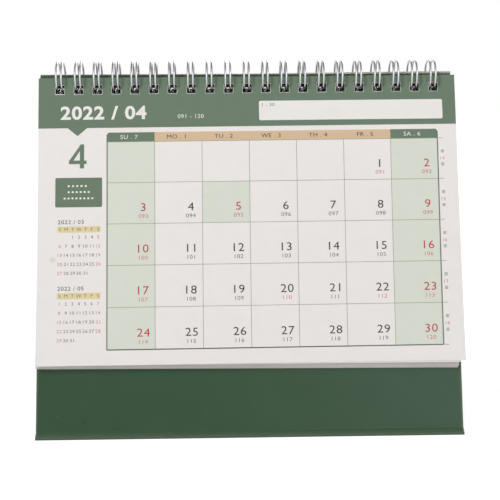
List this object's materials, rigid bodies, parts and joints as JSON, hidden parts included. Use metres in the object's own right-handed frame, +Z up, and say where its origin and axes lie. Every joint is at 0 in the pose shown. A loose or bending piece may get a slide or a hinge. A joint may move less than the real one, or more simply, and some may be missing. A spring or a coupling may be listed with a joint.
{
  "type": "desk calendar",
  "caption": "Easel desk calendar: a folded card stand with a twin-loop wire along its ridge, and month leaves that hang on it and turn over the top.",
  "frame": {"origin": "centre of the base, on the table", "axes": "+X along the ridge to the right of someone reading the leaves, -Y towards the reader, +Z up"},
  "size_m": [0.1895, 0.0962, 0.1634],
  "materials": {
    "covered_card": "matte",
    "binding_wire": "satin",
    "leaf_paper": "matte"
  },
  "bodies": {
    "stand": {"easel_stand": "covered_card", "wire_binding": "binding_wire"},
    "front_leaves": {"page_block": "leaf_paper"},
    "back_leaves": {"turned_leaves": "leaf_paper"}
  },
  "joints": [
    {"name": "front_leaves_turn", "type": "hinge", "parent": "stand", "child": "front_leaves", "pos_m": [0, 0, 0.15609], "axis": [-1, 0, 0], "range_deg": [0, 130]},
    {"name": "back_leaves_turn", "type": "hinge", "parent": "stand", "child": "back_leaves", "pos_m": [0, 0, 0.15609], "axis": [1, 0, 0], "range_deg": [0, 60]}
  ]
}
